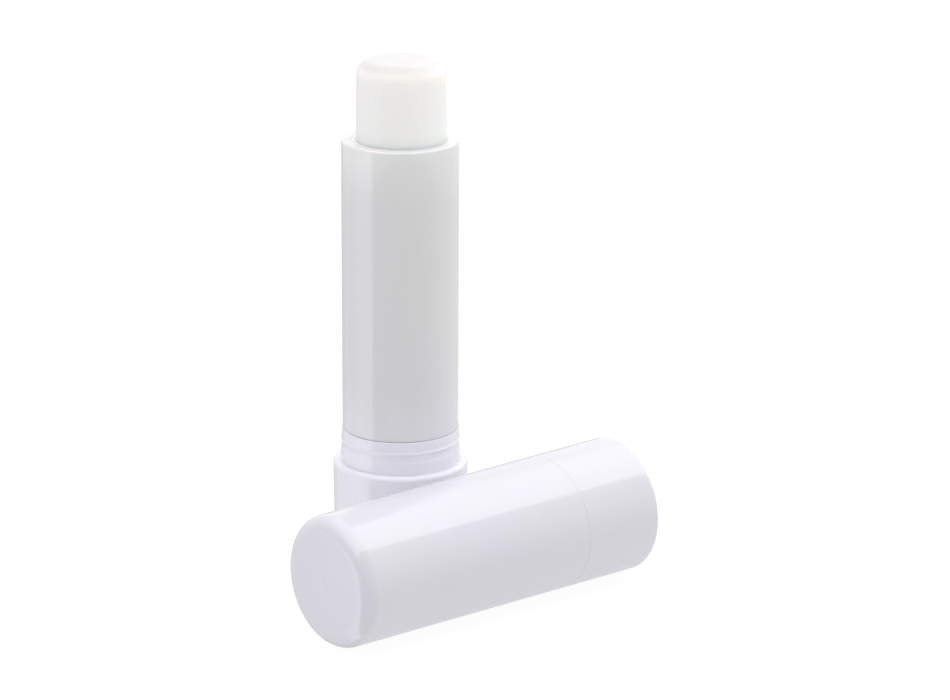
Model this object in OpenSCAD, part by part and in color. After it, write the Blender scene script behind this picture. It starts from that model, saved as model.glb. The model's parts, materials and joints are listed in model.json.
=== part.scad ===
// Lip balm stick with its cap taken off and laid in front of it.
// The stick stands on the plane z = 0 with its axis on Z. The cap lies on the same plane,
// on its lowest straight line, with its closed end towards -X and its mouth towards +X.
// Lengths are in millimetres. Radii are worked out from the base inwards, wall by wall.

/* [Base] */
// Outer diameter of the turning base, at its shoulder
base_d = 19.5; // [18:0.5:24]
// Height of the turning base, from the floor to the shoulder that the cap closes on
base_h = 16.4; // [15:0.1:20]
// Side wall of the base, beside the collar
base_wall = 1.15; // [0.9:0.05:1.5]
// Height of the floor inside the base
base_floor = 1.6; // [1.4:0.1:2.2]
// Draft of the outside of the base, narrower at the foot, in degrees
base_draft = 0.65; // [0:0.05:1]
// Edge rounding of the shoulder and of the foot of the base
base_round = 0.6; // [0.2:0.1:0.8]
// Depth of the round recess under the base
foot_recess = 0.4; // [0.2:0.1:0.8]

/* [Collar] */
// Height of the collar that shows between the base and the tube
collar_h = 4.85; // [4:0.05:8]
// Wall of the part of the collar that is pressed into the base
collar_wall = 0.57; // [0.5:0.01:0.7]
// How far the collar reaches into the base
collar_sink = 7.5; // [5:0.5:8.5]
// How far the collar stands out from the tube above it
collar_proud = 0.31; // [0.25:0.01:0.5]
// Height of the plain neck above the snap bead
neck_w = 1.35; // [0.8:0.05:1.6]
// Width of the snap bead that holds the cap
bead_w = 0.8; // [0.6:0.05:1]
// How far the snap bead stands out from the neck
bead_depth = 0.19; // [0.1:0.01:0.22]
// Width of the groove under the snap bead
groove_w = 0.8; // [0.6:0.05:1]

/* [Tube] */
// Length of the tube above the collar
tube_l = 42.5; // [38:0.1:48]
// Wall of the tube
tube_wall = 1.03; // [0.9:0.01:1.2]
// Wall of the reduced lower end that turns in the collar
spigot_wall = 0.6; // [0.5:0.05:0.7]
// Length of the rim, where the bore is drawn in level with the guide ribs
rim_land = 3.2; // [2:0.1:4]
// Number of guide ribs inside the tube
rib_n = 4; // [2:1:8]
// Height of the guide ribs
rib_h = 0.5; // [0.3:0.05:0.6]
// Width of the guide ribs
rib_w = 1.2; // [0.8:0.1:2]

/* [Lead screw] */
// Diameter of the spindle over its thread
screw_d = 5.2; // [4.6:0.1:5.8]
// Depth of the thread
thread_depth = 0.8; // [0.5:0.05:1]
// Rise of the elevator in one full turn
lead = 4.5; // [3.5:0.25:6]
// Number of thread starts
starts = 2; // [1:1:3]
// Distance of the top of the spindle below the rim of the tube
screw_below_rim = 13.7; // [12:0.1:16]
// Radial clearance between the thread and its nut
thread_gap = 0.25; // [0.2:0.05:0.3]

/* [Elevator] */
// Overall height of the elevator
elevator_h = 12; // [9:0.5:14]
// Gap between the elevator and the bore of the tube
elevator_gap = 0.25; // [0.2:0.05:0.3]
// Wall of the cup behind the notches for the guide ribs
notch_wall = 0.45; // [0.4:0.05:0.6]
// Length of the threaded nut under the floor of the elevator
nut_l = 4; // [3:0.5:5]
// Thickness of the floor of the elevator
cup_floor_t = 1.2; // [0.8:0.1:1.6]
// Wall of the nut around its thread
nut_wall = 1.3; // [1:0.1:1.6]

/* [Balm] */
// Gap between the drawn-in rim of the tube and the balm
balm_gap = 0.37; // [0.3:0.01:0.5]
// Height of the flat top of the balm above the rim of the tube
balm_rise = 11; // [4:0.1:16]
// Draft of the balm above the rim, in degrees
balm_draft = 0.65; // [0:0.05:1.5]
// Edge rounding of the top of the balm
balm_round = 1.6; // [0.4:0.1:2]

/* [Cap] */
// How far the mouth of the cap stands out from the shoulder of the base
cap_proud = 0.05; // [0:0.01:0.1]
// Draft of the outside of the cap, narrower at its closed end, in degrees
cap_draft = 0.43; // [0:0.01:0.6]
// Room between the rim of the tube and the closed end of the cap, when it is on
cap_head = 4.1; // [2:0.1:6]
// Thickness of the closed end of the cap
cap_end_wall = 1.3; // [0.9:0.1:1.6]
// How far the middle of the closed end of the cap stands out from its edge
cap_crown = 0.15; // [0:0.05:0.3]
// Edge rounding of the closed end of the cap
cap_round = 2.4; // [0.5:0.1:2.8]
// Clearance between the collar and the mouth of the cap
cap_fit = 0.13; // [0.1:0.01:0.2]
// Distance of the fine ring line from the mouth of the cap
ring_at = 13; // [10:0.1:16]

/* [Place of the cap] */
// Gap between the base and the widest part of the lying cap
cap_gap = 0.86; // [0.5:0.01:20]
// Distance of the closed end of the cap from the axis of the stick, along X
cap_back = 29.3; // [20:0.1:40]

/* [Hidden] */

// Facet count of the true round faces
$fn = 96;
// Overrun of every cut past the face that it leaves
over = 0.5;

// Radii of the nested pieces, from the base inwards
base_r = base_d / 2;
base_bore_r = base_r - base_wall;
turn_gap = 0.08;
collar_bore_r = base_bore_r - collar_wall;
spigot_r = collar_bore_r - turn_gap;
bore_r = spigot_r - spigot_wall;
tube_r = bore_r + tube_wall;
rim_bore_r = bore_r - rib_h;
collar_r = tube_r + collar_proud;
elevator_r = bore_r - elevator_gap;
balm_r = rim_bore_r - balm_gap;

// Base: the foot, the ledge that the collar seats on, and the boss that holds the spindle
base_foot_r = base_r - base_h * tan(base_draft);
foot_ring_w = 2.2;
collar_seat_z = base_h - collar_sink;
boss_h = 2.6;
boss_wall = 1.2;
boss_top_z = base_floor + boss_h;

// Collar: its neck, with the snap bead and the groove under it, and the flange that seats on the base
collar_top_z = base_h + collar_h;
neck_r = collar_r - bead_depth;
bead_z = collar_top_z - neck_w - bead_w / 2;
groove_top_z = bead_z - bead_w / 2;
flange_z = groove_top_z - groove_w;
bead_round = (bead_w * bead_w / 4 + bead_depth * bead_depth) / (2 * bead_depth);
bead_turn = asin(bead_w / 2 / bead_round);
edge_ease = 0.15;
joint_ease = 0.08;

// Tube: the shoulder above the collar, the retaining bead below it, and the rim
shoulder_gap = 0.08;
tube_foot_z = collar_top_z + shoulder_gap;
tube_top_z = tube_foot_z + tube_l;
catch_h = 0.25;
catch_w = 0.8;
catch_gap = 0.2;
catch_r = spigot_r + catch_h;
catch_top_z = collar_seat_z - catch_gap;
base_well_r = catch_r + catch_gap;
spigot_lift = 1.9;
spigot_foot_z = base_floor + spigot_lift;
rim_ease = 0.25;
land_foot_z = tube_top_z - rim_land;
rib_top_z = land_foot_z - rib_h / 2;
rib_root = tube_wall / 4;

// Spindle: a splined plug in the boss, a flange on it, the thread and a pointed tip
screw_r = screw_d / 2;
core_r = screw_r - thread_depth;
boss_r = screw_r + boss_wall;
flange_t = 0.9;
flange_top_z = boss_top_z + flange_t;
spline_n = 6;
spline_r = 2.2;
spline_w = 1.6;
spline_gap = 0.05;
screw_top_z = tube_top_z - screw_below_rim;
tip_h = 1;
tip_step = 0.15;
lobe_points = 8;
slices_per_turn = 20;

// Elevator: its lowest place clears the flange, and it stands above that by the same
// travel that brings the balm up from its place inside the tube
end_gap = 0.8;
balm_below_rim = 1.6;
drop = balm_rise + balm_below_rim;
elevator_z = flange_top_z + end_gap + drop;
elevator_top_z = elevator_z + elevator_h;
cup_floor_z = elevator_z + nut_l;
cup_z = cup_floor_z + cup_floor_t;
notch_r = elevator_r - rib_h;
cup_r = notch_r - notch_wall;
nut_r = screw_r + thread_gap + nut_wall;

// Balm: its flat top, its draft, and the way that it leaves free for the screw
balm_top_z = tube_top_z + balm_rise;
balm_top_r = balm_r - balm_rise * tan(balm_draft);
channel_gap = 0.4;
channel_r = screw_r + channel_gap;
channel_top_z = screw_top_z + drop + end_gap;

// Cap: outside, bore, snap bead inside the mouth, ring line, and gate mark with its nub
cap_r = base_r + cap_proud;
cap_l = collar_h + shoulder_gap + tube_l + cap_head + cap_end_wall;
cap_end_r = cap_r - cap_l * tan(cap_draft);
cap_bore_r = collar_r + cap_fit;
cap_tube_gap = 0.18;
cap_end_bore_r = tube_r + cap_tube_gap;
cap_rim_ease = 0.3;
cap_inner_round = 1.4;
snap_bead_h = 0.22;
snap_bead_w = 0.7;
snap_bead_at = flange_z + groove_w / 2 - base_h;
ring_depth = 0.12;
ring_w = 0.3;
gate_r = 1;
gate_depth = 0.1;
nub_r = 0.25;
nub_h = 0.08;
cap_front = base_r + cap_gap + cap_r;

// Points on a round of radius r about c, from angle a to angle b
arc_steps = 8;
function arc(c, r, a, b) = [
    for (i = [0:arc_steps])
        let (t = a + (b - a) * i / arc_steps)
        c + r * [cos(t), sin(t)]
];

// Points of a shallow crown, from radius a out to its edge at radius b, where it has fallen by h
function crown(a, b, h) = [
    for (i = [0:arc_steps])
        let (r = a + (b - a) * i / arc_steps)
        [r, h * r * r / (b * b)]
];

// Radius of the outside and of the bore of the cap at distance s from its closed end
function cap_side(s) = cap_end_r + (cap_r - cap_end_r) * s / cap_l;
function cap_bore(s) = cap_end_bore_r + (cap_bore_r - cap_end_bore_r) * s / cap_l;

// Cross-section of the thread: the core with one smooth lobe for each start, grown by g
function thread_outline(g) = [
    for (k = [0:starts - 1], i = [0:lobe_points - 1])
        let (share = i / lobe_points,
             a = (k + share) * 360 / starts,
             r = core_r + g + thread_depth * (1 + cos(share * 360)) / 2)
        r * [cos(a), sin(a)]
];

// Thread from height z up over length l, in step with the height above the floor,
// so that the spindle and the nut are in mesh wherever each of them starts
module thread(z, l, g) {
    translate([0, 0, z])
        rotate([0, 0, 360 * z / lead])
            linear_extrude(
                height = l,
                twist = -360 * l / lead,
                slices = ceil(l / lead * slices_per_turn),
                segments = starts * lobe_points
            )
                polygon(thread_outline(g));
}

// Splined plug from height z up over length l, grown by g
module spline_plug(z, l, g) {
    translate([0, 0, z])
        linear_extrude(height = l)
            for (k = [0:spline_n / 2 - 1])
                rotate([0, 0, k * 360 / spline_n])
                    square([2 * (spline_r + g), spline_w + 2 * g], center = true);
}

// Turning base: a cup with a boss inside that holds the spindle
module base() {
    foot_in_r = base_foot_r - foot_ring_w;
    color([0.86, 0.85, 0.89])
        difference() {
            rotate_extrude()
                polygon(concat(
                    [[0, foot_recess], [foot_in_r, foot_recess], [foot_in_r, 0]],
                    arc([base_foot_r - base_round, base_round], base_round, -90, 0),
                    arc([base_r - base_round, base_h - base_round], base_round, 0, 90),
                    [[base_bore_r, base_h], [base_bore_r, collar_seat_z]],
                    [[base_well_r, collar_seat_z], [base_well_r, base_floor]],
                    [[boss_r, base_floor], [boss_r, boss_top_z], [0, boss_top_z]]
                ));
            spline_plug(base_floor, boss_h + over, spline_gap);
        }
}

// Collar: pressed into the base, with the bead on its neck that the cap snaps over
module collar() {
    color([0.85, 0.84, 0.89])
        rotate_extrude()
            polygon(concat(
                [[collar_bore_r, collar_seat_z], [base_bore_r, collar_seat_z], [base_bore_r, base_h]],
                [[collar_r, base_h], [collar_r, flange_z - edge_ease], [neck_r, flange_z]],
                arc([collar_r - bead_round, bead_z], bead_round, -bead_turn, bead_turn),
                [[neck_r, collar_top_z - joint_ease], [neck_r - joint_ease, collar_top_z]],
                [[collar_bore_r, collar_top_z]]
            ));
}

// Spindle: the lead screw that stands in the base and lifts the elevator
module spindle() {
    thread_l = screw_top_z - tip_h - flange_top_z;
    color([0.93, 0.93, 0.93])
        union() {
            spline_plug(base_floor + spline_gap, boss_h - spline_gap, 0);
            translate([0, 0, boss_top_z])
                cylinder(r = boss_r, h = flange_t);
            thread(flange_top_z, thread_l, 0);
            translate([0, 0, screw_top_z - tip_h])
                cylinder(r1 = core_r - tip_step, r2 = core_r / 2, h = tip_h);
        }
}

// Tube: the long sleeve that the hand holds, with ribs that keep the elevator from turning
module tube() {
    color([0.85, 0.85, 0.87])
        union() {
            rotate_extrude()
                polygon([
                    [bore_r, spigot_foot_z],
                    [spigot_r, spigot_foot_z],
                    [spigot_r, catch_top_z - catch_w],
                    [catch_r, catch_top_z - catch_w / 2],
                    [catch_r, catch_top_z],
                    [spigot_r, catch_top_z],
                    [spigot_r, tube_foot_z],
                    [tube_r - joint_ease, tube_foot_z],
                    [tube_r, tube_foot_z + joint_ease],
                    [tube_r, tube_top_z - rim_ease],
                    [tube_r - rim_ease, tube_top_z],
                    [rim_bore_r + rim_ease, tube_top_z],
                    [rim_bore_r, tube_top_z - rim_ease],
                    [rim_bore_r, land_foot_z],
                    [bore_r, land_foot_z - rib_h]
                ]);
            for (k = [0:rib_n - 1])
                rotate([0, 0, k * 360 / rib_n])
                    guide_rib();
        }
}

// One guide rib, rooted in the wall of the tube, that runs up into the drawn-in rim
module guide_rib() {
    translate([bore_r - rib_h, -rib_w / 2, spigot_foot_z])
        cube([rib_h + rib_root, rib_w, rib_top_z - spigot_foot_z]);
}

// Elevator: the cup that carries the balm, with the nut for the lead screw under its floor
module elevator() {
    color([0.93, 0.93, 0.93])
        difference() {
            rotate_extrude()
                polygon([
                    [0, elevator_z],
                    [nut_r, elevator_z],
                    [nut_r, cup_floor_z],
                    [cup_r, cup_floor_z],
                    [cup_r, elevator_z],
                    [elevator_r, elevator_z],
                    [elevator_r, elevator_top_z],
                    [cup_r, elevator_top_z],
                    [cup_r, cup_z],
                    [0, cup_z]
                ]);
            thread(elevator_z - over, nut_l + cup_floor_t + 2 * over, thread_gap);
            for (k = [0:rib_n - 1])
                rotate([0, 0, k * 360 / rib_n])
                    guide_notch();
        }
}

// One notch in the side of the elevator, for a guide rib
module guide_notch() {
    notch_w = rib_w + 2 * elevator_gap;
    translate([notch_r, -notch_w / 2, elevator_z - over])
        cube([rib_h + over, notch_w, elevator_h + 2 * over]);
}

// Balm: a bar with a rounded flat top, moulded in the cup around the way of the screw
module balm() {
    color([0.93, 0.91, 0.89])
        rotate_extrude()
            polygon(concat(
                [[channel_r, cup_z], [cup_r, cup_z], [cup_r, elevator_top_z]],
                [[balm_r, elevator_top_z], [balm_r, tube_top_z]],
                arc([balm_top_r - balm_round, balm_top_z - balm_round], balm_round, 0, 90),
                [[0, balm_top_z], [0, channel_top_z], [channel_r, channel_top_z]]
            ));
}

// Profile of the cap: radius to the right, distance from the closed end upwards
module cap_profile() {
    ring_s = cap_l - ring_at;
    bead_s = cap_l - snap_bead_at;
    face_s = cap_crown + cap_round;
    face_r = cap_side(face_s) - cap_round;
    face_tilt = atan(2 * cap_crown / face_r);
    polygon(concat(
        [[0, gate_depth - nub_h], [nub_r, gate_depth - nub_h], [nub_r, gate_depth], [gate_r, gate_depth]],
        crown(gate_r, face_r, cap_crown),
        arc([face_r, face_s], cap_round, face_tilt - 90, 0),
        [
            [cap_side(ring_s - ring_w / 2), ring_s - ring_w / 2],
            [cap_side(ring_s) - ring_depth, ring_s],
            [cap_side(ring_s + ring_w / 2), ring_s + ring_w / 2],
            [cap_side(cap_l - cap_rim_ease), cap_l - cap_rim_ease],
            [cap_r - cap_rim_ease, cap_l],
            [cap_bore_r + edge_ease, cap_l],
            [cap_bore(cap_l - edge_ease), cap_l - edge_ease],
            [cap_bore(bead_s + snap_bead_w / 2), bead_s + snap_bead_w / 2],
            [cap_bore(bead_s) - snap_bead_h, bead_s],
            [cap_bore(bead_s - snap_bead_w / 2), bead_s - snap_bead_w / 2]
        ],
        arc([cap_end_bore_r - cap_inner_round, cap_end_wall + cap_inner_round], cap_inner_round, 0, -90),
        [[0, cap_end_wall]]
    ));
}

// Cap, lying on its lowest straight line
module cap() {
    color([0.86, 0.85, 0.88])
        translate([-cap_back, -cap_front, 0])
            rotate([0, -cap_draft, 0])
                translate([0, 0, cap_end_r])
                    rotate([0, 90, 0])
                        rotate_extrude()
                            cap_profile();
}

base();
collar();
spindle();
tube();
elevator();
balm();
cap();
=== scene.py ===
# %% [markdown]
# # Lip balm stick
# A twist-up stick of balm stands open on its turning base, and its long cap lies in front of it.
# Seven pieces make it: the base, the collar that the cap snaps over, the tube, the lead screw, the
# elevator that climbs it, the balm and the cap. The frame holds them at their real size, so every
# piece made here takes its place from the frame and then gets the finish of the real material.

# %% Load the frame
import json
import math

import bmesh
import bpy
from mathutils import Matrix, Vector

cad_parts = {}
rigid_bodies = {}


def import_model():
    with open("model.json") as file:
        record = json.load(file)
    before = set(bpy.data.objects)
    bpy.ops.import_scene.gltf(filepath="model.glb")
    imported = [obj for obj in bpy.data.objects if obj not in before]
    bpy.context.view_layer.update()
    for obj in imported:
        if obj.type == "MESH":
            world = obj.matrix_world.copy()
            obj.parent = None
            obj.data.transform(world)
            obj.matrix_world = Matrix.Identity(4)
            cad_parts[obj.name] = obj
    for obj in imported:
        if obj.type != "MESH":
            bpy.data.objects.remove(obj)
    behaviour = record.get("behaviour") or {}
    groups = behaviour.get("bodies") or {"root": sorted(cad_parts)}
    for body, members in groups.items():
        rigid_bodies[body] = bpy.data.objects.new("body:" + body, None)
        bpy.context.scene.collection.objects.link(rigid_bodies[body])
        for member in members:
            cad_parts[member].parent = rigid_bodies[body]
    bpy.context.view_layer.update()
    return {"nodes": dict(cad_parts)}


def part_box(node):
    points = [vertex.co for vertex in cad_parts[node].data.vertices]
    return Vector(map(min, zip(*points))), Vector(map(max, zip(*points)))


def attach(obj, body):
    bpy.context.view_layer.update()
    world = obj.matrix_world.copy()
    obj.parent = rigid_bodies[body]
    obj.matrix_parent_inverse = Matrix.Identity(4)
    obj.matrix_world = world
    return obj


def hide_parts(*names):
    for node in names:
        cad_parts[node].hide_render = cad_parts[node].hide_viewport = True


for stray in list(bpy.data.objects):
    bpy.data.objects.remove(stray)

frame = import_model()
scene = bpy.context.scene
mm = 0.001

# %% [markdown]
# ## Camera
# A photograph fixes where its camera stood. The outline of the stick and of the cap gives the
# place, the turn, the tilt and the small roll of the camera, and how long its lens was. A long lens
# from far off keeps the two sides of the tube nearly parallel.

# %% Set up the camera
PHOTO_WIDTH_PX = 950
SENSOR_WIDTH_MM = 36
focal_length_px = 3782.8
camera_place = Vector((-320.70, -410.48, 191.45)) * mm
camera_turn = math.radians(39.181)
camera_tilt = math.radians(16.958)
camera_roll = math.radians(0.265)


def camera_axes(turn, tilt, roll):
    """Forward, right and up of a camera that is turned from +Y to +X, tilted down and rolled."""
    forward = Vector((math.sin(turn) * math.cos(tilt), math.cos(turn) * math.cos(tilt), -math.sin(tilt)))
    level = Vector((math.cos(turn), -math.sin(turn), 0))
    upright = level.cross(forward)
    right = level * math.cos(roll) + upright * math.sin(roll)
    up = upright * math.cos(roll) - level * math.sin(roll)
    return forward, right, up


view_forward, view_right, view_up = camera_axes(camera_turn, camera_tilt, camera_roll)
camera_data = bpy.data.cameras.new("camera")
camera_data.sensor_width = SENSOR_WIDTH_MM
camera_data.lens = focal_length_px * SENSOR_WIDTH_MM / PHOTO_WIDTH_PX
camera_data.clip_start = 0.01
camera_data.clip_end = 20
camera = bpy.data.objects.new("camera", camera_data)
camera_turned = Matrix((view_right, view_up, -view_forward)).transposed().to_4x4()
camera.matrix_world = Matrix.Translation(camera_place) @ camera_turned
scene.collection.objects.link(camera)
scene.camera = camera
scene.view_settings.view_transform = "Standard"
towards_camera = Vector((-view_forward.x, -view_forward.y, 0)).normalized()
camera_left = Vector((towards_camera.y, -towards_camera.x, 0))
print("camera", [round(x / mm, 1) for x in camera.location], "lens", round(camera_data.lens, 1))

# %% [markdown]
# ## Room
# The stick stands in a plain white room. The world is white for the camera, and gives a softer
# light to the pieces, dimmer from the side that the photograph was taken from. Gloss shows the room
# round it, so reflections see the room in its own brightness for each direction: a bright wall to
# the left, which ends sharply towards the camera, and a quieter one in front.

# %% A helper for node trees
def add_node(tree, kind, inputs=None, **settings):
    """A new node of a kind, with its settings, and values or links for its inputs by name or number."""
    made = tree.nodes.new(kind)
    for name, value in settings.items():
        setattr(made, name, value)
    for key, value in (inputs or {}).items():
        socket = made.inputs[key]
        if isinstance(value, bpy.types.NodeSocket):
            tree.links.new(value, socket)
        else:
            socket.default_value = value
    return made


def math_node(tree, operation, *values):
    """The result of one Math node."""
    return add_node(tree, "ShaderNodeMath", dict(enumerate(values)), operation=operation).outputs[0]


def smooth_range(tree, value, start, end, low, high):
    """A value carried smoothly from the range start to end into the range low to high."""
    inputs = {"Value": value, "From Min": start, "From Max": end, "To Min": low, "To Max": high}
    return add_node(tree, "ShaderNodeMapRange", inputs, interpolation_type="SMOOTHSTEP").outputs["Result"]


def mix_colours(tree, share, first, second):
    """The colour that a share of 0 to 1 takes from the first to the second."""
    mixed = add_node(tree, "ShaderNodeMix", {"Factor": share}, data_type="RGBA")
    for name, colour in (("A", first), ("B", second)):
        socket = [s for s in mixed.inputs if s.name == name and s.type == "RGBA"][0]
        if isinstance(colour, bpy.types.NodeSocket):
            tree.links.new(colour, socket)
        else:
            socket.default_value = colour
    return [s for s in mixed.outputs if s.type == "RGBA"][0]


def room_side(tree, direction, stops):
    """The room's light in a direction. Each of stops is (degrees left of the camera, brightness, colour)."""
    shares = [add_node(tree, "ShaderNodeVectorMath", {0: direction, 1: tuple(way)}, operation="DOT_PRODUCT")
              for way in (camera_left, towards_camera)]
    angle = math_node(tree, "ARCTAN2", shares[0].outputs["Value"], shares[1].outputs["Value"])
    turned = math_node(tree, "MULTIPLY_ADD", angle, 0.5 / math.pi, 0.5)
    ramp = add_node(tree, "ShaderNodeValToRGB", {"Fac": turned})
    ramp.color_ramp.interpolation = "EASE"
    brightest = max(brightness for degrees, brightness, colour in stops) * 1.1
    for number, (degrees, brightness, colour) in enumerate(stops):
        position = degrees / 360 + 0.5
        mark = ramp.color_ramp.elements[number] if number < 2 else ramp.color_ramp.elements.new(position)
        mark.position = position
        mark.color = [brightness / brightest * share for share in colour] + [1]
    light = {0: ramp.outputs["Color"], "Scale": brightest}
    return add_node(tree, "ShaderNodeVectorMath", light, operation="SCALE").outputs[0]


# %% The white world
WHITE = (1.0, 1.0, 1.0, 1.0)
PLAIN = (1.0, 1.0, 1.0)
COOL = (0.98, 0.98, 1.05)
soft_light = [(-180, 1.10, PLAIN), (180, 1.10, PLAIN), (-100, 1.02, PLAIN), (-25, 0.68, PLAIN),
              (20, 0.78, PLAIN), (95, 0.78, COOL), (150, 0.94, PLAIN)]
gloss_low = [(-180, 0.80, PLAIN), (180, 0.62, PLAIN), (-95, 1.12, PLAIN), (-60, 0.60, PLAIN),
             (-30, 0.44, PLAIN), (20, 0.62, PLAIN), (50, 0.74, PLAIN), (60, 2.55, COOL),
             (75, 2.35, COOL), (119, 1.15, COOL), (155, 0.66, COOL)]
gloss_high = [(-180, 1.05, PLAIN), (180, 1.05, PLAIN), (-90, 1.05, PLAIN), (-30, 0.50, PLAIN),
              (50, 0.60, PLAIN), (60, 1.05, COOL), (119, 0.90, COOL)]

world = bpy.data.worlds.new("white_room")
world.use_nodes = True
scene.world = world
tree = world.node_tree
tree.nodes.clear()
path = add_node(tree, "ShaderNodeLightPath")
direction = add_node(tree, "ShaderNodeTexCoord").outputs["Generated"]
height = add_node(tree, "ShaderNodeSeparateXYZ", {0: direction}).outputs["Z"]
above = smooth_range(tree, height, -0.05, 0.05, 0.0, 1.0)
low_gloss = room_side(tree, direction, gloss_low)
high_gloss = room_side(tree, direction, gloss_high)
gloss = mix_colours(tree, above, low_gloss, high_gloss)
unseen = mix_colours(tree, path.outputs["Is Glossy Ray"], room_side(tree, direction, soft_light), gloss)
seen = math_node(tree, "MAXIMUM", path.outputs["Is Camera Ray"], path.outputs["Is Transmission Ray"])
background = add_node(tree, "ShaderNodeBackground", {"Color": mix_colours(tree, seen, unseen, WHITE)})
add_node(tree, "ShaderNodeOutputWorld", {"Surface": background.outputs[0]})
print("world, from behind to behind:", len(gloss_low), "marks for reflections")

# %% The pale floor
floor_radius = 3.0
floor_sink = 0.05 * mm
floor_colour = (0.20, 0.20, 0.20, 1.0)
floor_glow = 0.86
floor_glow_unseen = 0.65

floor_mesh = bpy.data.meshes.new("floor")
disc = bmesh.new()
bmesh.ops.create_circle(disc, cap_ends=True, segments=96, radius=floor_radius)
bmesh.ops.translate(disc, verts=disc.verts, vec=(0, 0, -floor_sink))
disc.to_mesh(floor_mesh)
disc.free()
floor = bpy.data.objects.new("floor", floor_mesh)
floor.visible_glossy = False
scene.collection.objects.link(floor)

paper = bpy.data.materials.new("white_paper")
paper.use_nodes = True
tree = paper.node_tree
tree.nodes.clear()
path = add_node(tree, "ShaderNodeLightPath")
part_lit = add_node(tree, "ShaderNodeBsdfDiffuse", {"Color": floor_colour})
strength = add_node(tree, "ShaderNodeMix",
                    {"Factor": path.outputs["Is Camera Ray"], "A": floor_glow_unseen, "B": floor_glow})
glow = add_node(tree, "ShaderNodeEmission", {"Color": WHITE, "Strength": strength.outputs["Result"]})
bright = add_node(tree, "ShaderNodeAddShader", {0: part_lit.outputs[0], 1: glow.outputs[0]})
add_node(tree, "ShaderNodeOutputMaterial", {"Surface": bright.outputs[0]})
floor_mesh.materials.append(paper)
print("floor of radius", floor_radius, "m")

# %% [markdown]
# ## Lights
# One wide softbox hangs above the stick. Gloss sees a wide card in its place, whose sharp front edge
# makes the lower edge of the broad bright band along the cap.

# %% Hang the softbox
def softbox(name, place, aim, along, size, radiance):
    """A rectangular lamp at a place, facing the point aim, with its long side along a direction."""
    data = bpy.data.lights.new(name, "AREA")
    data.shape = "RECTANGLE"
    data.size, data.size_y = size
    data.energy = radiance * math.pi * size[0] * size[1]
    lamp = bpy.data.objects.new(name, data)
    back = (place - aim).normalized()
    across = Vector(along).cross(back).normalized()
    upward = back.cross(across)
    turned = Matrix((across, upward, back)).transposed().to_4x4()
    lamp.matrix_world = Matrix.Translation(place) @ turned
    lamp.visible_camera = False
    lamp.visible_glossy = False
    scene.collection.objects.link(lamp)
    return lamp


box_place = Vector((0.08, 0.04, 0.80))
box_aim = Vector((0, 0, 0.02))
box_side = 1.1
box_radiance = 1.10
overhead = softbox("overhead_softbox", box_place, box_aim, (1, 0, 0), (box_side, box_side), box_radiance)
print("softbox", overhead.name, round(overhead.data.energy, 2), "W")

# %% A card that only reflections see
def bright_card(name, corners, tint, near, far, reach):
    """A flat glowing card seen by reflections alone. Its glow fades from near to far along reach in Y."""
    mesh = bpy.data.meshes.new(name)
    mesh.from_pydata(corners, [], [tuple(range(len(corners)))])
    made = bpy.data.objects.new(name, mesh)
    scene.collection.objects.link(made)
    made.visible_camera = False
    made.visible_diffuse = False
    made.visible_shadow = False
    made.visible_transmission = False
    card_paint = bpy.data.materials.new(name)
    card_paint.use_nodes = True
    tree = card_paint.node_tree
    tree.nodes.clear()
    place = add_node(tree, "ShaderNodeNewGeometry").outputs["Position"]
    along = add_node(tree, "ShaderNodeSeparateXYZ", {0: place}).outputs["Y"]
    strength = smooth_range(tree, along, reach[0], reach[1], near, far)
    glow = add_node(tree, "ShaderNodeEmission", {"Color": tint, "Strength": strength})
    add_node(tree, "ShaderNodeOutputMaterial", {"Surface": glow.outputs[0]})
    mesh.materials.append(card_paint)


top_height = 0.6
top_front = -0.366
top_back = 0.56
top_left = -0.9
top_right = 2.0
front_brightness = 3.1
back_brightness = 1.5
top_corners = [(top_left, top_front, top_height), (top_right, top_front, top_height),
               (top_right, top_back, top_height), (top_left, top_back, top_height)]
bright_card("top_card", top_corners, WHITE, front_brightness, back_brightness, (top_front, top_back))
print("card", round(top_right - top_left, 2), "by", round(top_back - top_front, 3), "m")

# %% [markdown]
# ## Finishes
# The case is moulded polypropylene, which is glossy and a little milky. Up close its gloss isn't
# perfect: the skin waves slightly where the plastic cooled, has a faint cloud of colour and a few
# fine rubs along the stick from the cap going on and off. One group of nodes makes all of that, and
# each material gives it other amounts.

# %% One group for the skin of every moulded piece
rub_stretch = (4200, 4200, 160)
wave_scale = 170.0
grain_scale = 5200.0


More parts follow.
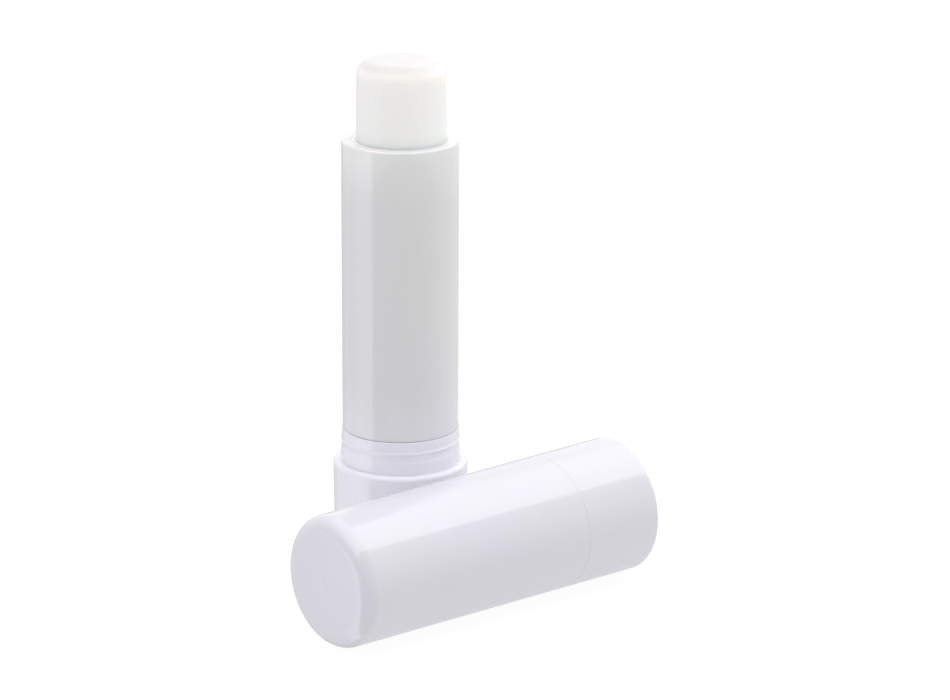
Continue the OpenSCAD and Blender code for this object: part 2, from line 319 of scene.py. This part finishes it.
def moulded_skin():
    """Colour, roughness and normal of a moulded skin, from a place measured along the piece."""
    group = bpy.data.node_groups.new("moulded_skin", "ShaderNodeTree")
    group.interface.new_socket(name="Place", in_out="INPUT", socket_type="NodeSocketVector")
    for name in ("Colour", "Cloud colour"):
        group.interface.new_socket(name=name, in_out="INPUT", socket_type="NodeSocketColor")
    for name in ("Cloud amount", "Cloud size", "Roughness", "Rub roughness", "Wave height", "Grain height",
                 "Rub height"):
        group.interface.new_socket(name=name, in_out="INPUT", socket_type="NodeSocketFloat")
    for name, kind in (("Colour", "Color"), ("Roughness", "Float"), ("Normal", "Vector")):
        group.interface.new_socket(name=name, in_out="OUTPUT", socket_type="NodeSocket" + kind)
    given = add_node(group, "NodeGroupInput").outputs
    place = given["Place"]
    cloud_scale = math_node(group, "DIVIDE", 1.0, given["Cloud size"])
    clouds = add_node(group, "ShaderNodeTexNoise",
                      {"Vector": place, "Scale": cloud_scale, "Detail": 3.0, "Roughness": 0.55})
    spread = smooth_range(group, clouds.outputs[0], 0.35, 0.65, 0.0, 1.0)
    amount = math_node(group, "MULTIPLY", spread, given["Cloud amount"])
    tinted = mix_colours(group, amount, given["Colour"], given["Cloud colour"])
    stretched = add_node(group, "ShaderNodeVectorMath", {0: place, 1: rub_stretch}, operation="MULTIPLY")
    rubs = add_node(group, "ShaderNodeTexNoise",
                    {"Vector": stretched.outputs[0], "Scale": 1.0, "Detail": 4.0, "Roughness": 0.6})
    fine_rubs = smooth_range(group, rubs.outputs[0], 0.60, 0.78, 0.0, 1.0)
    roughness = math_node(group, "MULTIPLY_ADD", fine_rubs, given["Rub roughness"], given["Roughness"])
    waves = add_node(group, "ShaderNodeTexNoise", {"Vector": place, "Scale": wave_scale, "Detail": 1.0})
    grain = add_node(group, "ShaderNodeTexNoise", {"Vector": place, "Scale": grain_scale, "Detail": 2.0})
    wave_m = math_node(group, "MULTIPLY", waves.outputs[0], given["Wave height"])
    grain_m = math_node(group, "MULTIPLY_ADD", grain.outputs[0], given["Grain height"], wave_m)
    rub_m = math_node(group, "MULTIPLY", fine_rubs, given["Rub height"])
    height = math_node(group, "SUBTRACT", grain_m, rub_m)
    bump = add_node(group, "ShaderNodeBump", {"Height": height, "Strength": 1.0, "Distance": 1.0})
    add_node(group, "NodeGroupOutput",
             {"Colour": tinted, "Roughness": roughness, "Normal": bump.outputs[0]})
    return group


skin = moulded_skin()
print("skin group", [socket.name for socket in skin.interface.items_tree])

# %% A material from the skin
def finish(name, colour, cloud, skin_values, shader_values, turn=(0, 0, 0), ends=()):
    """A Principled material over the skin group. turn lays the piece's axis on Z.

    Each of ends is (colour, start, stop): the colour that the piece takes on from start to stop.
    """
    made = bpy.data.materials.new(name)
    made.use_nodes = True
    tree = made.node_tree
    tree.nodes.clear()
    coordinates = add_node(tree, "ShaderNodeTexCoord").outputs["Object"]
    place = add_node(tree, "ShaderNodeMapping", {"Vector": coordinates, "Rotation": turn}).outputs[0]
    along = add_node(tree, "ShaderNodeSeparateXYZ", {0: place}).outputs["Z"]
    own = (*colour, 1)
    for end_colour, start, stop in ends:
        own = mix_colours(tree, smooth_range(tree, along, start, stop, 0.0, 1.0), own, (*end_colour, 1))
    surface = add_node(tree, "ShaderNodeGroup",
                       {"Place": place, "Colour": own, "Cloud colour": (*cloud, 1), **skin_values},
                       node_tree=skin).outputs
    shader = add_node(tree, "ShaderNodeBsdfPrincipled",
                      {**shader_values, "Base Color": surface["Colour"], "Roughness": surface["Roughness"],
                       "Normal": surface["Normal"]})
    add_node(tree, "ShaderNodeOutputMaterial", {"Surface": shader.outputs[0]})
    return made


# %% The seven finishes
gloss_skin = {"Cloud amount": 0.5, "Cloud size": 0.009, "Roughness": 0.09, "Rub roughness": 0.12,
              "Wave height": 6e-6, "Grain height": 2e-7, "Rub height": 2e-7}
milky = {"IOR": 1.5, "Subsurface Weight": 0.25, "Subsurface Radius": (1.0, 0.9, 0.9),
         "Subsurface Scale": 1.2 * mm}
# The base and collar are the cap's plastic painted paler and more violet. This is painted light: it lifts
# the shade from the lying cap and the tube, and adds the violet of light bounced between the pieces.
base_painted_light_finish = finish("base_gloss_painted_light", (0.835, 0.820, 0.884), (0.825, 0.815, 0.884), gloss_skin, milky)
collar_painted_light_finish = finish("collar_gloss_painted_light", (0.855, 0.840, 0.925), (0.845, 0.835, 0.925), gloss_skin, milky)

tube_top_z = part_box("tube")[1].z
tube_shoulder_z = 21.33 * mm
painted_rim_light_reach = 9.5 * mm
painted_foot_light_reach = 9.0 * mm
# Painted light: paler towards the rim, and paler and violet towards the foot, where the lying cap shades the
# tube.
tube_painted_light_ends = [((0.825, 0.815, 0.808), tube_top_z - painted_rim_light_reach, tube_top_z),
             ((0.755, 0.742, 0.780), tube_shoulder_z + painted_foot_light_reach, tube_shoulder_z)]
tube_finish = finish("tube_gloss", (0.700, 0.698, 0.704), (0.708, 0.703, 0.712), gloss_skin, milky,
                     ends=tube_painted_light_ends)
cap_finish = finish("cap_gloss", (0.720, 0.703, 0.757), (0.707, 0.693, 0.757), gloss_skin, milky,
                    turn=(0, math.radians(-90), 0))
mechanism_skin = {**gloss_skin, "Roughness": 0.34, "Grain height": 1.2e-6}
mechanism_finish = finish("mechanism_natural", (0.80, 0.80, 0.79), (0.78, 0.78, 0.775), mechanism_skin,
                          milky)
balm_skin = {"Cloud amount": 0.1, "Cloud size": 0.006, "Roughness": 0.36, "Rub roughness": 0.10,
             "Wave height": 3e-6, "Grain height": 1e-6, "Rub height": 4e-7}
waxy = {"IOR": 1.37, "Subsurface Weight": 0.9, "Subsurface Radius": (1.0, 0.66, 0.50),
        "Subsurface Scale": 2.8 * mm}
# Painted shade: the top of the bar is painted darker where the softbox lights it most, so it doesn't clip to
# white.
balm_top_painted_shade = ((0.68, 0.676, 0.676), 73.7 * mm, 75.2 * mm)
balm_finish = finish("balm_wax", (0.958, 0.928, 0.906), (0.950, 0.924, 0.908), balm_skin, waxy,
                     ends=[balm_top_painted_shade])
# A pale ring in the gap at the rim: painted light, standing in for light that comes through the milky rim
# into the gap.
rim_gap_light_finish = finish("rim_gap_painted_light", (0.80, 0.785, 0.770), (0.79, 0.78, 0.77), balm_skin,
                         {"IOR": 1.40})
print("finishes", [m.name for m in bpy.data.materials])

# %% [markdown]
# ## Turned pieces
# Every part of the case is round, so each is an outline spun about its own axis. The outline is
# closed, walls and all, and gets extra rings just beside its corners: they hold the shading of long
# flat walls true, while the small rounded edges catch the light.

# %% Spin an outline
SEGMENTS = 240
hold = 0.05 * mm
sharp_from = math.radians(32)


def arc(centre, radius, start, end, steps=8):
    """Points on a round from angle start to angle end, in degrees, as (radius, height)."""
    angles = [math.radians(start + (end - start) * i / steps) for i in range(steps + 1)]
    return [(centre[0] + radius * math.cos(a), centre[1] + radius * math.sin(a)) for a in angles]


def held(outline):
    """The closed outline with a point close beside each end of every long straight stretch."""
    points = []
    for here, after in zip(outline, outline[1:] + outline[:1]):
        here, after = Vector(here), Vector(after)
        length = (after - here).length
        points.append(here)
        if length > 4 * hold:
            points.append(here.lerp(after, hold / length))
            points.append(here.lerp(after, 1 - hold / length))
    return points


def keep(name, mesh, material):
    """A named piece from a mesh, with smooth shading between its sharp edges."""
    mesh.name = name
    mesh.shade_smooth()
    mesh.set_sharp_from_angle(angle=sharp_from)
    if material:
        mesh.materials.append(material)
    piece = bpy.data.objects.new(name, mesh)
    scene.collection.objects.link(piece)
    print(name, len(mesh.polygons), "faces", [round(x / mm, 2) for x in piece.dimensions], "mm")
    return piece


def spin(name, outline, material, place=None):
    """A closed mesh piece: the outline, in metres as (radius, height), spun about Z."""
    mesh = bpy.data.meshes.new(name)
    shell = bmesh.new()
    angles = [2 * math.pi * i / SEGMENTS for i in range(SEGMENTS)]
    rings = []
    for radius, height in held(outline):
        around = angles if radius > 0 else angles[:1]
        rings.append([shell.verts.new((radius * math.cos(a), radius * math.sin(a), height)) for a in around])
    for ring, following in zip(rings, rings[1:] + rings[:1]):
        for i in range(SEGMENTS):
            after = (i + 1) % SEGMENTS
            corners = [ring[i % len(ring)], ring[after % len(ring)],
                       following[after % len(following)], following[i % len(following)]]
            corners = list(dict.fromkeys(corners))
            if len(corners) > 2:
                shell.faces.new(corners)
    bmesh.ops.recalc_face_normals(shell, faces=shell.faces)
    shell.to_mesh(mesh)
    shell.free()
    if place is not None:
        mesh.transform(place)
    return keep(name, mesh, material)


def settle(piece, body, slot, *nodes):
    """The piece rides on a body and stands for the frame's nodes, which it hides. slot is not used."""
    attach(piece, body)
    if nodes:
        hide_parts(*nodes)
    return piece


# %% [markdown]
# ## Base
# The hand turns the base to raise the balm. It is a plain cup with a rounded shoulder, on which the
# cap closes, a flat foot ring, and a boss inside that holds the lead screw.

# %% Make the base
base_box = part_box("base")
base_r = base_box[1].x
base_h = base_box[1].z
base_round = 0.6 * mm
base_draft = math.radians(0.65)
base_foot_r = base_r - base_h * math.tan(base_draft)
base_bore_r = 8.6 * mm
foot_recess = 0.4 * mm
foot_ring_w = 2.2 * mm
collar_seat_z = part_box("collar")[0].z
base_floor = 1.6 * mm
base_well_r = 8.4 * mm
boss_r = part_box("spindle")[1].x
boss_top_z = 4.2 * mm
socket_r = 2.25 * mm

base_outline = (
    [(0, foot_recess), (base_foot_r - foot_ring_w, foot_recess), (base_foot_r - foot_ring_w, 0)]
    + arc((base_foot_r - base_round, base_round), base_round, -90, 0)
    + arc((base_r - base_round, base_h - base_round), base_round, 0, 90)
    + [(base_bore_r, base_h), (base_bore_r, collar_seat_z), (base_well_r, collar_seat_z),
       (base_well_r, base_floor), (boss_r, base_floor), (boss_r, boss_top_z),
       (socket_r, boss_top_z), (socket_r, base_floor), (0, base_floor)]
)
settle(spin("base_shell", base_outline, base_painted_light_finish), "base", "base", "base")

# %% [markdown]
# ## Collar
# The collar is pressed into the base. Its neck shows as a short step below the tube. One low round
# bead on it holds the cap, over a shallow groove, and a flange seats on the shoulder of the base.

# %% Make the collar
collar_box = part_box("collar")
collar_r = collar_box[1].x
collar_top_z = collar_box[1].z
collar_bore_r = 8.03 * mm
bead_depth = 0.12 * mm
bead_w = 0.8 * mm
neck_w = 1.35 * mm
groove_w = 0.8 * mm
solid_bead_depth = 0.19 * mm
joint_ease = 0.08 * mm

neck_r = collar_r - solid_bead_depth
bead_z = collar_top_z - neck_w - bead_w / 2
flange_z = bead_z - bead_w / 2 - groove_w
bead_steps = 12
bead_points = []
for i in range(bead_steps + 1):
    swell = bead_depth * (1 - math.cos(2 * math.pi * i / bead_steps)) / 2
    bead_points.append((neck_r + swell, bead_z + bead_w * (i / bead_steps - 0.5)))
flange_steps = 6
flange_points = []
for i in range(flange_steps):
    swell = bead_depth * (1 + math.cos(math.pi * i / flange_steps)) / 2
    flange_points.append((neck_r + swell, flange_z - groove_w * (0.5 - i / flange_steps)))
collar_outline = (
    [(collar_bore_r, collar_seat_z), (base_bore_r, collar_seat_z), (base_bore_r, base_h),
     (neck_r + bead_depth, base_h)]
    + flange_points + bead_points
    + arc((neck_r - joint_ease, collar_top_z - joint_ease), joint_ease, 0, 90, 4)
    + [(collar_bore_r, collar_top_z)]
)
settle(spin("collar_neck", collar_outline, collar_painted_light_finish), "base", "collar", "collar")

# %% [markdown]
# ## Tube
# The tube is a plain sleeve. Its reduced lower end turns in the collar and has a bead that keeps it
# there. Its bore is drawn in at the rim, close round the balm. Its colour has painted light at both
# ends: it is painted paler towards the rim, standing in for the thicker wall there letting less of the
# dark inside show, and paler and more violet towards its foot, where the lying cap shades it.

# %% Make the tube
tube_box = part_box("tube")
tube_r = tube_box[1].x
spigot_foot_z = tube_box[0].z
tube_bore_r = 7.35 * mm
rim_bore_r = 6.85 * mm
rim_land = 3.2 * mm
rib_h = tube_bore_r - rim_bore_r
spigot_r = 7.95 * mm
catch_r = 8.2 * mm
catch_gap = 0.2 * mm
catch_top_z = collar_seat_z - catch_gap
catch_w = 0.8 * mm
shoulder_gap = 0.05 * mm
tube_foot_z = collar_top_z + shoulder_gap
rim_round = 0.25 * mm
bore_ease = 0.06 * mm
land_foot_z = tube_top_z - rim_land

tube_outline = (
    [(tube_bore_r, spigot_foot_z), (spigot_r, spigot_foot_z), (spigot_r, catch_top_z - catch_w),
     (catch_r, catch_top_z - catch_w / 2), (catch_r, catch_top_z), (spigot_r, catch_top_z),
     (spigot_r, tube_foot_z)]
    + arc((tube_r - joint_ease, tube_foot_z + joint_ease), joint_ease, -90, 0, 4)
    + arc((tube_r - rim_round, tube_top_z - rim_round), rim_round, 0, 90, 5)
    + arc((rim_bore_r + bore_ease, tube_top_z - bore_ease), bore_ease, 90, 180, 3)
    + [(rim_bore_r, land_foot_z), (tube_bore_r, land_foot_z - rib_h)]
)
settle(spin("tube_sleeve", tube_outline, tube_finish), "tube", "tube", "tube")

# %% [markdown]
# ## Balm
# The wax was poured and set as a bar with a softly rounded flat top, which is painted darker at
# the top as painted shade. It stands a little to one side of the rim. A thin pale ring in the gap
# at the rim is painted light, standing in for the light that comes through the milky rim into the gap.

# %% Make the balm
balm_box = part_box("balm")
balm_foot_z = balm_box[0].z
balm_top_z = balm_box[1].z
balm_gap = 0.37 * mm
balm_r = rim_bore_r - balm_gap
balm_draft = math.radians(0.65)
cup_r = 6.15 * mm
elevator_top_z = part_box("elevator")[1].z
balm_rise = balm_top_z - tube_top_z
balm_top_r = balm_r - balm_rise * math.tan(balm_draft)
balm_round = 2.3 * mm
balm_crest = 0.65 * mm
channel_r = 3.0 * mm
channel_top_z = 63.53 * mm
lean = 0.18 * mm
lean_way = Vector((0.774, -0.633, 0))
crest_z = balm_top_z + balm_crest

balm_outline = (
    [(channel_r, balm_foot_z), (cup_r, balm_foot_z), (cup_r, elevator_top_z), (balm_r, elevator_top_z),
     (balm_r, tube_top_z)]
    + arc((balm_top_r - balm_round, crest_z - balm_round), balm_round, 0, 90, 16)
    + [(0, crest_z), (0, channel_top_z), (channel_r, channel_top_z)]
)
balm = spin("balm_bar", balm_outline, balm_finish)
for vertex in balm.data.vertices:
    in_cup = vertex.co.z < elevator_top_z + hold and vertex.co.xy.length < cup_r + hold
    in_channel = vertex.co.z < channel_top_z + hold and vertex.co.xy.length < channel_r + hold
    if not in_cup and not in_channel:
        vertex.co += lean_way * lean
settle(balm, "carrier", "balm", "balm")

# %% Make the pale ring of painted light in the gap at the rim
fill_sink = 0.05 * mm
fill_depth = 1.1 * mm
fill_clearance = 0.02 * mm
fill_bite = 0.02 * mm
fill_in_r = balm_r + fill_clearance
fill_out_r = rim_bore_r + fill_bite
fill_top_z = tube_top_z - fill_sink
fill_foot_z = tube_top_z - fill_depth
fill_outline = [(fill_in_r, fill_foot_z), (fill_out_r, fill_foot_z),
               (fill_out_r, fill_top_z), (fill_in_r, fill_top_z)]
rim_gap_fill = spin("rim_gap_painted_light_fill", fill_outline, rim_gap_light_finish)
for vertex in rim_gap_fill.data.vertices:
    if vertex.co.xy.length < (fill_in_r + fill_out_r) / 2:
        vertex.co += lean_way * lean
settle(rim_gap_fill, "tube", "balm")

# %% [markdown]
# ## Cap
# The cap narrows a little towards its closed end, which is softly rounded and slightly crowned, with
# a small gate mark in the middle. A fine ring runs round it near its mouth, and inside is a bead that
# snaps over the collar. It lies on its lowest straight line, so its axis is tilted by its own draft.

# %% Make the cap
cap_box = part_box("cap")
cap_r = (cap_box[1].y - cap_box[0].y) / 2
cap_axis_y = (cap_box[1].y + cap_box[0].y) / 2
cap_back = 29.3 * mm
cap_l = 52.83 * mm
cap_draft = math.radians(0.43)
cap_end_r = cap_r - cap_l * math.tan(cap_draft)
cap_round = 2.4 * mm
cap_crown = 0.15 * mm
cap_end_wall = 1.3 * mm
cap_mouth_bore_r = 8.82 * mm
cap_end_bore_r = 8.56 * mm
inner_round = 1.4 * mm
rim_ease = 0.3 * mm
bore_ease_s = 0.15 * mm
bead_in_h = 0.22 * mm
bead_in_w = 0.7 * mm
bead_in_s = cap_l - 2.3 * mm
ring_s = cap_l - 13.0 * mm
ring_w = 0.3 * mm
ring_depth = 0.06 * mm
gate_r = 1.0 * mm
gate_depth = 0.05 * mm
nub_r = 0.25 * mm
nub_h = 0.05 * mm


def cap_side(s):
    """Radius of the outside of the cap at distance s from its closed end."""
    return cap_end_r + (cap_r - cap_end_r) * s / cap_l


def cap_bore(s):
    """Radius of the bore of the cap at distance s from its closed end."""
    return cap_end_bore_r + (cap_mouth_bore_r - cap_end_bore_r) * s / cap_l


face_s = cap_crown + cap_round
face_r = cap_side(face_s) - cap_round
face_tilt = math.degrees(math.atan(2 * cap_crown / face_r))
crown_steps = 8
crown_radii = [gate_r + (face_r - gate_r) * i / crown_steps for i in range(crown_steps)]
cap_outline = (
    [(0, gate_depth - nub_h), (nub_r * 0.7, gate_depth - nub_h), (nub_r, gate_depth),
     (gate_r * 0.8, gate_depth)]
    + [(r, cap_crown * (r / face_r) ** 2) for r in crown_radii]
    + arc((face_r, face_s), cap_round, face_tilt - 90, 0, 20)
    + [(cap_side(ring_s - ring_w / 2), ring_s - ring_w / 2), (cap_side(ring_s) - ring_depth, ring_s),
       (cap_side(ring_s + ring_w / 2), ring_s + ring_w / 2)]
    + arc((cap_r - rim_ease, cap_l - rim_ease), rim_ease, 0, 90, 5)
    + [(cap_mouth_bore_r + bore_ease_s, cap_l), (cap_bore(cap_l - bore_ease_s), cap_l - bore_ease_s),
       (cap_bore(bead_in_s + bead_in_w / 2), bead_in_s + bead_in_w / 2),
       (cap_bore(bead_in_s) - bead_in_h, bead_in_s),
       (cap_bore(bead_in_s - bead_in_w / 2), bead_in_s - bead_in_w / 2)]
    + arc((cap_end_bore_r - inner_round, cap_end_wall + inner_round), inner_round, 0, -90, 8)
    + [(0, cap_end_wall)]
)
lying = (Matrix.Translation((-cap_back, cap_axis_y, 0)) @ Matrix.Rotation(-cap_draft, 4, "Y")
         @ Matrix.Translation((0, 0, cap_end_r)) @ Matrix.Rotation(math.radians(90), 4, "Y"))
settle(spin("cap_shell", cap_outline, cap_finish, lying), "cap", "cap", "cap")

# %% [markdown]
# ## Shapes that follow a rule
# The lead screw is one smooth lobed outline, drawn along its axis while it turns, and the guide ribs
# are one rib set round the bore. Geometry Nodes say such a rule directly, with named sizes, so both
# are grown by node trees. Each result is then made a plain mesh, which every other tool can read.

# %% Helpers for grown pieces
def growth_tree(name, sizes, counts):
    """A Geometry Nodes tree with named sizes, named counts and a finish, and its input sockets."""
    tree = bpy.data.node_groups.new(name, "GeometryNodeTree")
    for size in sizes:
        tree.interface.new_socket(name=size, in_out="INPUT", socket_type="NodeSocketFloat")
    for count in counts:
        tree.interface.new_socket(name=count, in_out="INPUT", socket_type="NodeSocketInt")
    tree.interface.new_socket(name="Finish", in_out="INPUT", socket_type="NodeSocketMaterial")
    tree.interface.new_socket(name="Mesh", in_out="OUTPUT", socket_type="NodeSocketGeometry")
    return tree, add_node(tree, "NodeGroupInput").outputs


def end_growth(tree, given, shapes):
    """The last nodes of a tree: they join the shapes, make them real and give them their finish."""
    joined = add_node(tree, "GeometryNodeJoinGeometry")
    for shape in shapes:
        tree.links.new(shape, joined.inputs[0])
    real = add_node(tree, "GeometryNodeRealizeInstances", {0: joined.outputs[0]})
    finished = add_node(tree, "GeometryNodeSetMaterial",
                        {"Geometry": real.outputs[0], "Material": given["Finish"]})
    add_node(tree, "NodeGroupOutput", {0: finished.outputs[0]})


def grown(name, tree, values):
    """A plain mesh piece from a tree and a value for each of its named inputs."""
    seed = bpy.data.objects.new(name + "_seed", bpy.data.meshes.new(name + "_seed"))
    scene.collection.objects.link(seed)
    growth = seed.modifiers.new("growth", "NODES")
    growth.node_group = tree
    for socket in tree.interface.items_tree:
        if socket.in_out == "INPUT":
            growth[socket.identifier] = values[socket.name]
    depsgraph = bpy.context.evaluated_depsgraph_get()
    mesh = bpy.data.meshes.new_from_object(seed.evaluated_get(depsgraph))
    bpy.data.objects.remove(seed)
    shell = bmesh.new()
    shell.from_mesh(mesh)
    bmesh.ops.recalc_face_normals(shell, faces=shell.faces)
    shell.to_mesh(mesh)
    shell.free()
    return keep(name, mesh, None)


# %% [markdown]
# ## Lead screw
# A spindle with a two-start thread stands in the base, and a nut under the balm climbs it when the
# base is turned. The thread's outline is a circle whose radius swells once for each start. It is
# swept along a line whose tilt grows with its height, one full turn for each lead.

# %% Nodes for a lobed bar
OUTLINE_POINTS = 72
THREAD_RINGS = 300


def lobed_bar(tree, core, swell, lobes, foot, top, rings, lead=None):
    """Nodes for an upright bar whose outline has lobes, turned once for each lead of its height."""
    circle = add_node(tree, "GeometryNodeCurvePrimitiveCircle",
                      {"Resolution": OUTLINE_POINTS, "Radius": 1.0})
    position = add_node(tree, "GeometryNodeInputPosition").outputs[0]
    split = add_node(tree, "ShaderNodeSeparateXYZ", {0: position})
    angle = math_node(tree, "ARCTAN2", split.outputs["Y"], split.outputs["X"])
    wave = math_node(tree, "COSINE", math_node(tree, "MULTIPLY", angle, lobes))
    share = math_node(tree, "MULTIPLY_ADD", wave, 0.5, 0.5)
    radius = math_node(tree, "MULTIPLY_ADD", share, swell, core)
    placed = add_node(tree, "ShaderNodeVectorMath", {0: position, "Scale": radius}, operation="SCALE")
    outline = add_node(tree, "GeometryNodeSetPosition",
                       {"Geometry": circle.outputs[0], "Position": placed.outputs[0]})
    low = add_node(tree, "ShaderNodeCombineXYZ", {"Z": foot})
    high = add_node(tree, "ShaderNodeCombineXYZ", {"Z": top})
    line = add_node(tree, "GeometryNodeCurvePrimitiveLine",
                    {"Start": low.outputs[0], "End": high.outputs[0]})
    axis = add_node(tree, "GeometryNodeResampleCurve", {"Curve": line.outputs[0], "Count": rings}).outputs[0]
    if lead:
        height = add_node(tree, "ShaderNodeSeparateXYZ", {0: position}).outputs["Z"]
        turns = math_node(tree, "DIVIDE", height, lead)
        tilt = math_node(tree, "MULTIPLY", turns, 2 * math.pi)
        axis = add_node(tree, "GeometryNodeSetCurveTilt", {"Curve": axis, "Tilt": tilt}).outputs[0]
    sweep = add_node(tree, "GeometryNodeCurveToMesh",
                     {"Curve": axis, "Profile Curve": outline.outputs[0], "Fill Caps": True})
    return sweep.outputs[0]


# %% Grow the lead screw
core_r = 1.8 * mm
thread_depth = 0.8 * mm
lead = 4.5 * mm
starts = 2
plug_core = 1.6 * mm
plug_r = 2.2 * mm
splines = 6
plug_gap = 0.05 * mm
flange_t = 0.9 * mm
tip_h = 1.0 * mm
tip_step = 0.15 * mm
screw_top_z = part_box("spindle")[1].z

screw_sizes = ["Core", "Thread depth", "Lead", "Plug core", "Spline height", "Foot", "Flange foot",
               "Flange top", "Flange radius", "Thread top", "Tip height", "Tip radius"]
tree, given = growth_tree("lead_screw", screw_sizes, ["Starts", "Splines"])
plug = lobed_bar(tree, given["Plug core"], given["Spline height"], given["Splines"], given["Foot"],
                 given["Flange foot"], 2)
thread = lobed_bar(tree, given["Core"], given["Thread depth"], given["Starts"], given["Flange top"],
                   given["Thread top"], THREAD_RINGS, lead=given["Lead"])
flange = lobed_bar(tree, given["Flange radius"], 0.0, 1, given["Flange foot"], given["Flange top"], 2)
tip_top_r = math_node(tree, "MULTIPLY", given["Tip radius"], 0.5)
tip = add_node(tree, "GeometryNodeMeshCone", {"Vertices": 48, "Depth": given["Tip height"],
                                              "Radius Bottom": given["Tip radius"], "Radius Top": tip_top_r})
lift = add_node(tree, "ShaderNodeCombineXYZ", {"Z": given["Thread top"]})
tip_up = add_node(tree, "GeometryNodeTransform",
                  {"Geometry": tip.outputs[0], "Translation": lift.outputs[0]})
end_growth(tree, given, [plug, flange, thread, tip_up.outputs[0]])
screw_values = {
    "Core": core_r, "Thread depth": thread_depth, "Lead": lead, "Plug core": plug_core,
    "Spline height": plug_r - plug_core, "Foot": base_floor + plug_gap, "Flange foot": boss_top_z,
    "Flange top": boss_top_z + flange_t, "Flange radius": boss_r, "Thread top": screw_top_z - tip_h,
    "Tip height": tip_h, "Tip radius": core_r - tip_step, "Starts": starts, "Splines": splines,
    "Finish": mechanism_finish,
}
lead_screw = settle(grown("lead_screw", tree, screw_values), "base", "mechanism", "spindle")

worst = 0
for vertex in lead_screw.data.vertices:
    x, y, z = vertex.co
    if boss_top_z + 1.01 * flange_t < z < screw_top_z - 1.01 * tip_h and math.hypot(x, y) > core_r * 0.99:
        swell = (1 + math.cos(starts * (math.atan2(y, x) - 2 * math.pi * z / lead))) / 2
        worst = max(worst, abs(math.hypot(x, y) - core_r - thread_depth * swell))
print("thread off its rule by", round(worst / mm, 4), "mm")

# %% [markdown]
# ## Guide ribs
# Four ribs inside the tube run up to its drawn-in rim. They fit the notches of the elevator, so the
# elevator can't turn with the screw and has to climb it.

# %% Grow the guide ribs
rib_w = 1.2 * mm
rib_root = 0.25 * mm
ribs = 4

tree, given = growth_tree("guide_ribs", ["Reach", "Root", "Width", "Foot", "Top"], ["Ribs"])
thick = math_node(tree, "SUBTRACT", given["Root"], given["Reach"])
tall = math_node(tree, "SUBTRACT", given["Top"], given["Foot"])
size = add_node(tree, "ShaderNodeCombineXYZ", {"X": thick, "Y": given["Width"], "Z": tall})
bar = add_node(tree, "GeometryNodeMeshCube", {"Size": size.outputs[0]})
middle = math_node(tree, "MULTIPLY", math_node(tree, "ADD", given["Root"], given["Reach"]), 0.5)
halfway = math_node(tree, "MULTIPLY", math_node(tree, "ADD", given["Top"], given["Foot"]), 0.5)
seat = add_node(tree, "ShaderNodeCombineXYZ", {"X": middle, "Z": halfway})
seated = add_node(tree, "GeometryNodeTransform",
                  {"Geometry": bar.outputs[0], "Translation": seat.outputs[0]})
spots = add_node(tree, "GeometryNodePoints", {"Count": given["Ribs"]})
index = add_node(tree, "GeometryNodeInputIndex").outputs[0]
share = math_node(tree, "DIVIDE", index, given["Ribs"])
around = add_node(tree, "ShaderNodeCombineXYZ", {"Z": math_node(tree, "MULTIPLY", share, 2 * math.pi)})
turned = add_node(tree, "FunctionNodeEulerToRotation", {0: around.outputs[0]})
placed = add_node(tree, "GeometryNodeInstanceOnPoints",
                  {"Points": spots.outputs[0], "Instance": seated.outputs[0], "Rotation": turned.outputs[0]})
end_growth(tree, given, [placed.outputs[0]])
rib_values = {"Reach": rim_bore_r, "Root": tube_bore_r + rib_root, "Width": rib_w, "Foot": spigot_foot_z,
              "Top": land_foot_z - rib_h / 2, "Ribs": ribs, "Finish": tube_finish}
settle(grown("guide_ribs", tree, rib_values), "tube", "tube")

# %% [markdown]
# ## Elevator
# The cup that carries the balm is the frame's own piece: its notches and its threaded nut are true
# there. It gets the natural plastic of the mechanism.

# %% Finish the elevator
elevator = frame["nodes"]["elevator"]
elevator.data.materials.clear()
elevator.data.materials.append(mechanism_finish)
print("elevator", len(elevator.data.polygons), "faces")
